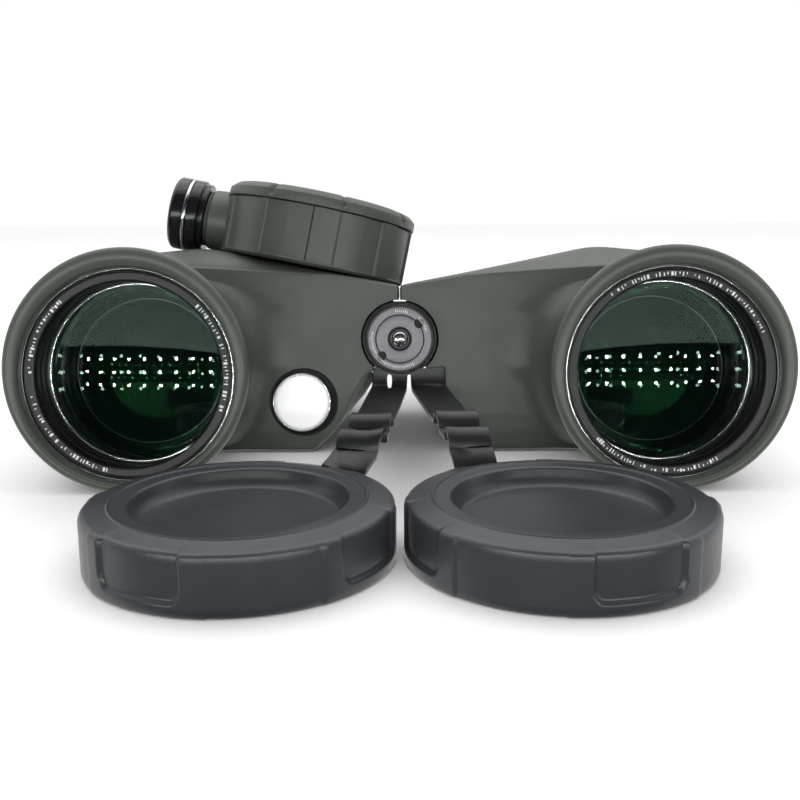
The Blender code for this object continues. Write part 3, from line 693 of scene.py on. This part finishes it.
def make_eyepiece(prefix, side):
    place = along_y(side * EYE_X, EYE_Z)
    moving = prefix + "_eyepiece"
    tube = [
        (11.6, 136.5, 0), (13.5, 136.5, 0.3), (13.5, 98.0, 0), (11.6, 98.0, 0),
    ]
    turned(
        prefix + "_eye_barrel", tube, 96, LOOKS["black_plastic"], moving, "black_plastic", place,
        replaces=(prefix + "_eyepiece_tube",),
    )
    cup = [
        (13.8, 133.0, 0.2), (17.6, 133.0, 0.6), (17.8, 135.0, 0.2), (17.3, 135.5, 0.2),
        (17.3, 136.3, 0.2), (17.9, 136.8, 0.2), (17.9, 138.4, 0.2), (17.4, 138.9, 0.2),
        (17.4, 139.7, 0.2), (18.0, 140.2, 0.2), (18.2, 143.0, 1.5), (20.0, 146.2, 1.4),
        (20.0, 148.4, 1.2), (18.2, 150.0, 1.0), (16.4, 149.6, 1.0), (14.2, 144.4, 2.0),
        (12.4, 140.0, 0.6), (11.9, 136.9, 0.2), (13.8, 136.9, 0.1),
    ]
    turned(
        prefix + "_eyecup_soft", cup, 120, LOOKS["strap_rubber"], moving, "strap_rubber", place,
        replaces=(prefix + "_eyecup",),
    )
    lens = [
        (0, 129.4, 0), (6, 129.8, 0), (11.3, 131.0, 0.1), (11.3, 134.0, 0.1), (8, 134.9, 0),
        (4, 135.45, 0), (0, 135.6, 0),
    ]
    turned(
        prefix + "_eye_glass", lens, 72, LOOKS["lens_glass"], moving, "lens_glass", place,
        closed=False, replaces=(prefix + "_eye_lens",), sharp=60,
    )

    def knurl(r, h, angle):
        grip = smooth((h - 119.6) / 0.5) * smooth((128.0 - h) / 0.5)
        return (r - 0.45 * grip * (0.5 + 0.5 * math.cos(36 * angle)) if r > 18.5 else r, h)

    ring = [
        (13.8, 129.6, 0.2), (17.8, 129.6, 0.6), (19.0, 128.6, 0.4), (19.0, 128.2, 0), (19.0, 127.2, 0),
        (19.0, 124.0, 0), (19.0, 120.6, 0), (19.0, 119.6, 0), (19.0, 119.0, 0.4), (18.2, 118.0, 0.3),
        (13.8, 118.0, 0.2),
    ]
    turned(
        prefix + "_focus_grip", ring, 288, LOOKS["black_plastic"], prefix + "_focus_ring",
        "black_plastic", place, replaces=(prefix + "_focus_ring",), shape=knurl, sharp=50,
    )


# Centre hinge

SPANNER_R = 7.7
SPANNER_ANGLES = (38.8, 223.0)


def spanner_place(angle):
    turn = math.radians(angle)
    return along_y(SPANNER_R * math.cos(turn), SPANNER_R * math.sin(turn))


def make_hinge():
    place = along_y()
    rim = [
        (10.15, 42.2, 0), (10.9, 42.2, 0.2), (10.9, 40.6, 0.25), (10.6, 40.1, 0.2), (10.15, 40.15, 0.1),
    ]
    turned(
        "hinge_disc_rim", rim, 120, LOOKS["black_plastic"], "right_half", "black_plastic", place,
        replaces=("hinge_disc",),
    )
    face = [
        (0, 42.2, 0), (10.1, 42.2, 0), (10.1, 40.35, 0.25), (9.8, 40.12, 0.2), (7.66, 40.1, 0.06),
        (7.6, 40.7, 0.05), (7.34, 40.7, 0.05), (7.28, 40.1, 0.06), (3.75, 40.1, 0.15),
        (3.55, 41.4, 0.1), (0, 41.4, 0),
    ]
    disc = turned(
        "hinge_disc_face", face, 120, ALLOY, "right_half", "bright_steel", place, closed=False,
        steps=2,
    )
    bore = [(0, 38.0, 0), (1.5, 38.0, 0), (1.5, 41.5, 0), (0, 41.5, 0)]
    cut_with(disc, [cutter(bore, 28, spanner_place(angle)) for angle in SPANNER_ANGLES])
    plug = [(0, 41.45, 0), (1.45, 41.45, 0), (1.45, 40.6, 0.15), (0, 40.6, 0)]
    for number, angle in enumerate(SPANNER_ANGLES, 1):
        turned(
            f"hinge_disc_hole_{number}", plug, 28, LOOKS["shell_plastic"], "right_half",
            "black_plastic", spanner_place(angle), closed=False,
        )
    groove = [(7.33, 40.72, 0), (7.61, 40.72, 0), (7.61, 40.45, 0), (7.33, 40.45, 0)]
    turned(
        "hinge_disc_groove", groove, 96, LOOKS["shell_plastic"], "right_half", "black_plastic", place,
        steps=1,
    )
    verts, faces = [], []
    for first, last in ((62, 194), (-98, -74), (-46, -18)):
        for k in range(int((last - first) / 4) + 1):
            high = 9.25 if k % 5 == 0 else 8.95
            box_on_disc(verts, faces, math.radians(first + 4 * k), 8.35, high, 0.11, 39.98, 40.2)
    outward(piece("hinge_disc_ticks", verts, faces, INK, "right_half", "white_plastic", place))
    well = [(2.9, 41.38, 0), (3.5, 41.38, 0), (3.5, 40.3, 0.1), (3.15, 40.25, 0.1), (2.9, 40.5, 0)]
    turned(
        "hinge_centre_ring", well, 72, LOOKS["shell_plastic"], "right_half", "black_plastic", place
    )
    dome = [(0, 41.3, 0), (2.6, 41.3, 0), (2.6, 40.7, 0.3), (1.8, 39.9, 0.8), (0, 39.4, 0)]
    turned(
        "hinge_screw_dome", dome, 60, LOOKS["bright_steel"], "right_half", "bright_steel", place,
        closed=False, replaces=("hinge_dome",), steps=6,
    )


# Compass and its light

def compass_place():
    x = -(COMPASS_U * math.cos(ROLL) - COMPASS_V * math.sin(ROLL))
    z = COMPASS_U * math.sin(ROLL) + COMPASS_V * math.cos(ROLL)
    return BINO @ Matrix.Translation((x, COMPASS_Y, z)) @ Matrix.Rotation(ROLL, 4, "Y")


PANEL_START = -153.0
PANEL_TURN = 120.0
BEZEL_LOBES = 8
FIRST_LOBE = 0.6


def plateau(value, low, high, edge):
    """1 between low and high and 0 outside them, with a soft edge."""
    return smooth((value - low) / edge) * smooth((high - value) / edge)


def panel_depth(angle, height):
    """How deep the housing's wall is at a place: two recesses, the wide one with a raised plate."""
    local = (math.degrees(angle) - PANEL_START) % PANEL_TURN
    narrow = plateau(local, 0.0, 31.0, 0.8)
    wide = plateau(local, 33.4, 109.0, 0.8)
    plate = plateau(local, 47.2, 96.0, 0.5)
    lines = sum(max(0.0, 1 - abs(local - place) / 0.45) for place in (63.5, 79.8))
    band = smooth((height - 1.1) / 0.4)
    return (0.85 * (narrow + wide) - 0.4 * plate + 0.4 * lines) * band


def make_compass():
    place = compass_place()

    def wall(r, h, angle):
        return (r - panel_depth(angle, h) if r > 30.5 else r, h)

    side = [(31.6, h, 0) for h in (17.2, 14, 10, 6, 3, 1.6, 1.45, 1.25, 1.05)]
    housing = [
        (0, 2.0, 0), (27.0, 2.0, 0.5), (27.0, 16.8, 0.3), (24.5, 16.8, 0.2), (24.5, 18.6, 0.2),
        (31.6, 18.6, 0.05), (31.6, 18.3, 0),
    ] + side + [(31.2, 0.5, 0.3), (30.4, 0.0, 0.2), (0, 0.0, 0)]
    turned(
        "compass_case", housing, 720, LOOKS["armour_rubber"], "right_half", "armour_rubber", place,
        closed=False, replaces=("compass_housing",), shape=wall, steps=3, sharp=50,
    )
    make_neck(place)
    make_bezel(place)
    glass = [(0, 18.9, 0), (25.4, 18.9, 0.1), (25.4, 20.7, 0.4), (15, 21.3, 0), (0, 21.5, 0)]
    turned(
        "compass_glass", glass, 120, CLEAR, "right_half", "lens_glass", place,
        closed=False, replaces=("compass_window",), sharp=60,
    )
    make_card(place)


def make_bezel(place):
    def lobed(r, h, angle):
        local = (angle * BEZEL_LOBES / (2 * math.pi) + FIRST_LOBE) % 1.0
        notch = max(0.0, 1 - min(local, 1 - local) / 0.06)
        high = smooth((h - 19.6) / 2.2)
        flat = 0.5 * math.sin(math.pi * local) ** 0.5
        if r > 28.0:
            return r - smooth(notch) * 1.3 * high - (0.5 - flat) * 1.2 * high, h - smooth(notch) * high
        return r, h - smooth(notch) * 0.5 * smooth((r - 26.0) / 2.0) * high

    ring = [
        (25.9, 18.85, 0.1), (31.7, 18.85, 0.1), (31.95, 19.1, 0.1), (31.95, 20.4, 0), (31.95, 21.9, 0.3),
        (30.3, 23.4, 0.3), (28.6, 23.9, 0.3), (25.2, 23.9, 0.4), (23.6, 23.2, 0.3), (23.6, 21.6, 0.2),
        (25.9, 21.6, 0.1),
    ]
    turned(
        "compass_dial_ring", ring, 480, LOOKS["armour_rubber"], "compass_bezel", "armour_rubber",
        place, replaces=("compass_bezel",), shape=lobed, steps=3, sharp=50,
    )
    verts, faces = [], []
    for k in range(36):
        angle = math.radians(10 * k)
        inner = 25.6 if k % 3 == 0 else 26.5
        box_on_disc(verts, faces, angle, inner, 27.9, 0.16, 23.8, 23.95)
    outward(piece("compass_dial_ticks", verts, faces, INK, "compass_bezel", "white_plastic", place))


def box_on_disc(verts, faces, angle, inner, outer, half, low_h, high_h):
    """Adds a bar that lies along a radius of a disc."""
    across = Vector((-math.sin(angle), math.cos(angle), 0)) * half
    out = Vector((math.cos(angle), math.sin(angle), 0))
    low = len(verts)
    for r in (inner, outer):
        for h in (low_h, high_h):
            for sign in (-1, 1):
                verts.append(out * r + across * sign + Vector((0, 0, h)))
    a, b, c, d, e, f, g, i = range(low, low + 8)
    faces += [(a, c, d, b), (e, f, i, g), (a, b, f, e), (c, g, i, d), (a, e, g, c), (b, d, i, f)]


def make_card(place):
    verts, faces = [], []
    for k in range(72):
        angle = math.radians(5 * k)
        inner = 17.8 if k % 6 == 0 else 20.0
        box_on_disc(verts, faces, angle, inner, 22.6, 0.14, 14.58, 14.7)
    obj = piece("compass_card_ticks", verts, faces, LOOKS["black_plastic"], "compass_card",
                "black_plastic", place)
    outward(obj)
    verts = [Vector(p) for p in ((0, 16.5, 14.7), (-3.2, 2.0, 14.7), (3.2, 2.0, 14.7),
                                 (0, 16.5, 14.6), (-3.2, 2.0, 14.6), (3.2, 2.0, 14.6))]
    faces = [(0, 1, 2), (3, 5, 4), (0, 3, 4, 1), (1, 4, 5, 2), (2, 5, 3, 0)]
    outward(piece("compass_card_arrow", verts, faces, RED_INK, "compass_card", "black_plastic",
                  place))


def make_neck(place):
    """The battery barrel on the compass's side: its neck, screw cap, trim ring and light button."""
    sideways = place @ Matrix.Translation((0, 0, CELL_Z)) @ Matrix.Rotation(-math.pi / 2, 4, "Y")
    neck = [
        (7.0, 30.0, 0), (10.3, 30.0, 0), (10.3, 33.0, 0.8), (10.0, 36.4, 0.3), (9.3, 37.0, 0.2),
        (9.3, 37.8, 0.2), (7.0, 37.8, 0),
    ]
    turned(
        "battery_neck", neck, 96, LOOKS["armour_rubber"], "right_half", "armour_rubber", sideways
    )
    root = [(0, 27.6, 0), (9.6, 27.6, 0), (9.6, 32.4, 0.3), (0, 32.4, 0)]
    turned(
        "battery_neck_root", root, 72, LOOKS["armour_rubber"], "right_half", "armour_rubber",
        sideways, closed=False,
    )
    cap = [
        (8.6, 38.0, 0), (11.3, 38.0, 0.2), (11.5, 39.0, 0.2), (11.0, 39.3, 0.1), (11.0, 39.7, 0.1),
        (12.2, 40.1, 0.3), (12.2, 43.3, 0.1), (11.3, 43.35, 0), (11.3, 44.85, 0), (12.2, 44.9, 0.1),
        (12.2, 48.5, 0.6), (11.3, 49.4, 0.5), (5.3, 49.4, 0.2), (5.3, 46.6, 0), (8.6, 46.6, 0.2),
    ]
    turned(
        "battery_cap_shell", cap, 160, GLOSS_BLACK, "battery_cap", "black_plastic",
        sideways, replaces=("battery_cap",), steps=3, sharp=50,
    )
    trim = [(11.4, 43.6, 0), (12.3, 43.6, 0.2), (12.4, 44.1, 0.2), (12.3, 44.6, 0.2), (11.4, 44.6, 0)]
    turned(
        "battery_cap_trim", trim, 128, LOOKS["bright_steel"], "battery_cap_travel", "bright_steel",
        sideways, replaces=("battery_trim_ring",),
    )
    button = [
        (0, 45.2, 0), (7.0, 45.2, 0.2), (7.0, 46.3, 0.2), (5.0, 46.3, 0.1), (5.0, 49.3, 0.5),
        (3.6, 50.0, 0.5), (0, 49.8, 0),
    ]
    turned(
        "light_button_pad", button, 72, LOOKS["strap_rubber"], "light_button", "strap_rubber",
        sideways, closed=False, replaces=("light_button",),
    )


def make_light_window():
    place = along_y(WINDOW_X, WINDOW_Z)
    rim = [
        (8.45, 46.2, 0), (9.4, 46.2, 0.1), (9.4, 45.0, 0.3), (9.1, 44.6, 0.2), (8.8, 44.8, 0.2),
        (8.45, 45.4, 0.1),
    ]
    turned(
        "light_window_bright_rim", rim, 96, LOOKS["bright_steel"], "right_half", "bright_steel",
        place, replaces=("light_window_rim",),
    )
    pane = [
        (0, 46.2, 0), (8.4, 46.2, 0), (8.4, 44.7, 0.4), (7.7, 44.3, 0.4), (4.0, 44.1, 0),
        (0, 44.0, 0),
    ]
    turned(
        "light_window_pane", pane, 96, LOOKS["white_plastic"], "right_half", "white_plastic",
        place, closed=False, replaces=("light_window",), steps=5,
    )


# Lens caps

FIRST_PADS = {"right": -28.0, "left": -71.0}


def cap_shape(first_pad):
    """Four recessed grip pads, each open at the top, in a slightly raised stretch of the wall."""
    half_width = 17.5
    corner = 5.0

    def shape(r, h, angle):
        if r < 33.2:
            return r, h
        local = (math.degrees(angle) - first_pad + 45.0) % 90.0 - 45.0
        side = abs(local)
        rounding = max(0.0, (side - (half_width - corner)) / corner)
        floor = 2.7 + 3.0 * rounding ** 3
        pad = smooth((half_width - side) / 1.1) * smooth((h - floor) / 0.8)
        between = smooth((side - 25.0) / 0.7)
        return r - 0.8 * pad - 0.3 * between, h

    return shape


def make_cap(prefix, side, first_pad):
    place = Matrix.Translation((side * CAP_X, CAP_RIM_Y, 0))
    wall = [
        (35.3, h, 0)
        for h in (12.1, 11.2, 9.6, 8.0, 6.8, 6.2, 5.6, 5.0, 4.5, 4.0, 3.6, 3.2, 2.9, 2.6, 2.3, 1.2)
    ]
    profile = [
        (0, 9.5, 0), (22.4, 9.5, 1.2), (23.8, 11.2, 0.8), (24.5, 13.7, 0.5), (25.0, 14.05, 0.4),
        (28.3, 14.2, 0.3), (28.5, 14.5, 0.1), (28.9, 14.5, 0.1), (29.1, 14.2, 0.3),
        (33.9, 13.5, 0.1), (34.7, 13.2, 0.1), (35.1, 12.8, 0.1),
    ] + wall + [
        (35.0, 0.3, 0.3), (34.6, 0.0, 0.2), (33.9, 0.0, 0.2), (33.9, 6.8, 0.4), (0, 6.8, 0),
    ]
    turned(
        prefix + "_lens_cap", profile, 432, LOOKS["cap_rubber"], prefix + "_cap", "cap_rubber",
        place, closed=False, replaces=(prefix + "_objective_cap",), steps=4, sharp=40,
        shape=cap_shape(first_pad),
    )


# Tethers

STRAP_ROLL_HALF = 2.9
STRAP_ROLL_HIGH = 3.0
STRAP_SLOT_AT = (-3.3, 43.2, -13.2)


def tether_route(prefix):
    """The strap's midline: down from the collar, forward with a hump at each roll, into the cap."""
    hang = ((43.4, -9.2), (43.4, -11.0), (43.2, -13.0), (42.6, -14.6), (41.4, -15.6))
    tops = {"right": (-3.0, -0.1), "left": (8.7, 0.1)}
    rolls = {
        "right": ((-7.8, -4.8, 18.9), (-10.0, -15.5, 16.6), (-13.4, -22.6, 13.3)),
        "left": ((15.2, -4.6, 19.4), (17.6, -14.4, 17.0), (18.8, -19.9, 14.6)),
    }
    x, lean = tops[prefix]
    path = [BINO @ Vector((x + lean * k, y, z)) for k, (y, z) in enumerate(hang)]
    first, second, end = (Vector(p) + Vector((0, RIM_Y, 0)) for p in rolls[prefix])
    bend = path[-1]
    for t in (0.15, 0.3, 0.45, 0.6, 0.75, 0.87):
        path.append(bend.lerp(first, t))
    for roll, ahead in ((first, second), (second, end)):
        run = (ahead - roll).normalized()
        for k in range(13):
            angle = math.pi * k / 12
            rise = Vector((0, 0, STRAP_ROLL_HIGH * math.sin(angle)))
            path.append(roll - run * (STRAP_ROLL_HALF * math.cos(angle)) + rise)
    side = -1 if prefix == "right" else 1
    centre = Vector((side * CAP_X, CAP_RIM_Y, 0))
    outward_line = (Vector((end.x, end.y, 0)) - centre).normalized()
    path.append(end)
    path.append(centre + outward_line * 35.4 + Vector((0, 0, 12.2)))
    path.append(centre + outward_line * 34.6 + Vector((0, 0, 9.0)))
    path.append(centre + outward_line * 34.7 + Vector((0, 0, 5.6)))
    return path


def make_tether(prefix):
    """A flat strap with eased edges along its route from the collar into the cap."""
    path = tether_route(prefix)
    across_steps = (-1.0, -0.93, -0.5, 0.0, 0.5, 0.93, 1.0)
    rings = []
    for k, point in enumerate(path):
        ahead = (path[min(k + 1, len(path) - 1)] - path[max(k - 1, 0)]).normalized()
        across = (Vector((1, 0, 0)) - ahead * ahead.x).normalized()
        up = across.cross(ahead)
        if up.z < 0 and k > 4:
            up.negate()
        if k <= 4 and up.y > 0:
            up.negate()
        ring = []
        for steps, sign in ((across_steps, 1), (reversed(across_steps), -1)):
            for s in steps:
                edge = sign * 0.5 * STRAP_T * (0.72 if abs(s) == 1.0 else 1.0)
                ring.append(point + across * (s * STRAP_W / 2) + up * edge)
        rings.append(ring)
    count = len(rings[0])
    verts = [v for ring in rings for v in ring]
    faces = []
    for i in range(len(rings) - 1):
        for k in range(count):
            n = (k + 1) % count
            faces.append((i * count + k, i * count + n, (i + 1) * count + n, (i + 1) * count + k))
    faces.append(tuple(range(count)))
    faces.append(tuple(range((len(rings) - 1) * count, len(rings) * count)))
    obj = piece(
        prefix + "_tether_strap", verts, faces, LOOKS["strap_rubber"], None, "strap_rubber",
        Matrix.Identity(4), sharp=50, replaces=(prefix + "_cap_tether",),
    )
    outward(obj)
    if prefix == "right":
        hole = [(0, -4, 0), (1.0, -4, 0), (1.0, 4, 0), (0, 4, 0)]
        x, y, z = STRAP_SLOT_AT
        cut_with(obj, [cutter(hole, 24, along_y(x, z, y), (0.75, 2.6, 1.0))])
    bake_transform(obj)
    return obj


def make_collar():
    place = along_y()
    ring = [(5.0, 44.3, 0), (9.6, 44.3, 0.3), (9.6, 42.5, 0.3), (5.0, 42.5, 0)]
    turned(
        "tether_collar_ring", ring, 72, LOOKS["strap_rubber"], "tether_collar", "strap_rubber",
        place, replaces=("tether_collar",),
    )


# CAD nodes that stay, studio and camera

def dress_cad_nodes():
    """Gives every CAD node that stays its procedural look."""
    slots = {entry["node"]: entry["material_slot"] for entry in frame["record"]["subparts"]}
    for name, obj in frame["nodes"].items():
        look = LOOKS[slots[name]]
        if name == "hinge_washer":
            look = LOOKS["black_plastic"]
        # Prisms and field lenses take the opaque glass look, whose near-black colour is painted shade.
        if name.endswith("_prism") or name.endswith("_field_lens"):
            look = SHADE_PAINTED_GLASS
        if obj.material_slots:
            for place in obj.material_slots:
                place.material = look
        else:
            obj.data.materials.append(look)


def area_light(name, location, target, size, power, color=(1, 1, 1)):
    light = bpy.data.lights.new(name, "AREA")
    light.shape = "RECTANGLE"
    light.size, light.size_y = size
    light.energy = power
    light.color = color
    obj = bpy.data.objects.new(name, light)
    obj.location = location
    obj.rotation_euler = (Vector(target) - Vector(location)).to_track_quat("-Z", "Y").to_euler()
    bpy.context.scene.collection.objects.link(obj)
    return obj


def make_studio():
    """A pale floor, a white backdrop, soft light from above and a little from the front."""
    floor = bpy.data.meshes.new("floor")
    verts = [(-4.0, -3.0, 0.0), (4.0, -3.0, 0.0), (4.0, 2.39, 0.0), (-4.0, 2.39, 0.0)]
    faces = [(0, 1, 2, 3)]
    floor.from_pydata(verts, [], faces)
    made, tree, shader = nodes_of("studio_floor_look")
    low, high = (0.93, 0.93, 0.93), (0.95, 0.95, 0.95)
    tree.links.new(ramp(tree, noise(tree, 6.0), low, high), shader.inputs["Base Color"])
    shader.inputs["Roughness"].default_value = 0.6
    floor.materials.append(made)
    obj = bpy.data.objects.new("studio_floor", floor)
    obj.visible_glossy = False
    bpy.context.scene.collection.objects.link(obj)

    world = bpy.data.worlds.new("studio_world")
    bpy.context.scene.world = world
    world.use_nodes = True
    background = world.node_tree.nodes["Background"]
    background.inputs["Color"].default_value = (1.0, 1.0, 1.0, 1.0)
    background.inputs["Strength"].default_value = 1.0
    area_light("top_softbox", (0.0, 0.35, 1.1), (0, 0, 0.03), (1.8, 1.0), 6.0)
    fill = area_light("front_fill", (0.0, -1.3, 0.42), (0, 0, 0.03), (1.4, 0.5), 3.5)
    fill.visible_glossy = False
    bpy.context.scene.view_settings.view_transform = "Standard"

    glow_card("studio_backdrop", (0.0, 2.4, 0.6), (9.0, 4.0), (1.0, 1.0, 1.0), 1.0, True)
    glow_card("studio_dark_card", (0.0, -0.75, 0.3), (9.0, 3.4), (0.5, 0.8, 0.7), 0.03, False)


def glow_look(name, color, strength):
    made, tree, shader = nodes_of(name)
    tree.nodes.remove(shader)
    glow = tree.nodes.new("ShaderNodeEmission")
    glow.inputs["Color"].default_value = (*color, 1.0)
    glow.inputs["Strength"].default_value = strength
    tree.links.new(glow.outputs[0], tree.nodes["Material Output"].inputs["Surface"])
    return made


def glow_card(name, centre, size, color, strength, seen):
    """An upright card, either the white behind the object or the dark room behind the camera."""
    half_x, half_z = size[0] / 2, size[1] / 2
    corners = [(-half_x, 0, -half_z), (half_x, 0, -half_z), (half_x, 0, half_z), (-half_x, 0, half_z)]
    mesh = bpy.data.meshes.new(name)
    mesh.from_pydata(corners, [], [(0, 1, 2, 3)])
    mesh.materials.append(glow_look(name + "_look", color, strength))
    obj = bpy.data.objects.new(name, mesh)
    obj.location = centre
    obj.visible_camera = seen
    obj.visible_diffuse = False
    obj.visible_shadow = False
    obj.visible_glossy = not seen
    bpy.context.scene.collection.objects.link(obj)


LAMP_HEIGHTS = (0.1235, 0.0785, 0.0335)
LAMP_R = 0.0048
LAMP_SPACING = 0.055
LAMPS_EACH_WAY = 13
LAMPS_Y = -0.62


def make_lamp_rows():
    """Rows of small lamps behind the camera, seen only as reflections in the lenses."""
    bm = bmesh.new()
    for height in LAMP_HEIGHTS:
        for k in range(-LAMPS_EACH_WAY, LAMPS_EACH_WAY + 1):
            shift = Matrix.Translation((LAMP_SPACING * k, LAMPS_Y, height))
            bmesh.ops.create_icosphere(bm, subdivisions=2, radius=LAMP_R, matrix=shift)
    mesh = bpy.data.meshes.new("studio_lamp_rows")
    bm.to_mesh(mesh)
    bm.free()
    mesh.materials.append(glow_look("studio_lamp_look", (0.95, 1.0, 0.95), 110.0))
    obj = bpy.data.objects.new("studio_lamp_rows", mesh)
    bpy.context.scene.collection.objects.link(obj)
    obj.visible_camera = False
    obj.visible_diffuse = False
    obj.visible_shadow = False


CAMERA_AT = (0.0003, -0.3012, 0.0807)
CAMERA_PITCH = math.radians(11.64)
CAMERA_ROLL = math.radians(0.3)


def make_camera():
    camera = bpy.data.cameras.new("photo_camera")
    camera.lens = 45.0
    camera.sensor_width = 36.0
    camera.clip_start = 0.01
    obj = bpy.data.objects.new("photo_camera", camera)
    obj.location = CAMERA_AT
    obj.rotation_euler = (math.pi / 2 - CAMERA_PITCH, CAMERA_ROLL, 0.0)
    bpy.context.scene.collection.objects.link(obj)
    bpy.context.scene.camera = obj


make_camera()
make_studio()
make_lamp_rows()
dress_cad_nodes()
for prefix, side in (("right", -1), ("left", 1)):
    make_armour(prefix, side)
    make_objective(prefix, side)
    make_eyepiece(prefix, side)
    make_tether(prefix)
make_hinge()
make_collar()
make_compass()
make_light_window()
for prefix, side in (("right", -1), ("left", 1)):
    make_cap(prefix, side, FIRST_PADS[prefix])
